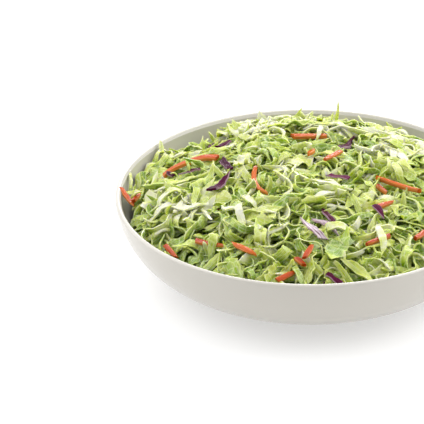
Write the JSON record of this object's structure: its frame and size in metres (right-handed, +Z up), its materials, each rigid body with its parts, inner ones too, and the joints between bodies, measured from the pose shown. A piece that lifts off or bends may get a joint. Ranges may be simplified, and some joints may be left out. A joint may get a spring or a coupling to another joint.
{
  "type": "bowl of coleslaw",
  "caption": "Low round white bowl on a foot ring, heaped with coleslaw: shredded green cabbage with carrot sticks and strips of red cabbage.",
  "frame": {"origin": "middle of the foot ring's underside, where the bowl rests", "axes": "+Z up, the bowl's own axis; the side seen first faces -Y, and +X is to its right"},
  "size_m": [0.24, 0.24, 0.0721],
  "materials": {
    "porcelain": "smooth white glaze",
    "cabbage": "moist shredded green cabbage, paler at the ribs and cut edges",
    "carrot": "moist carrot sticks, paler along the cut edges",
    "red_cabbage": "moist purple strips with white cut edges"
  },
  "bodies": {
    "root": {"bowl": "porcelain", "coleslaw": "cabbage"}
  },
  "joints": []
}
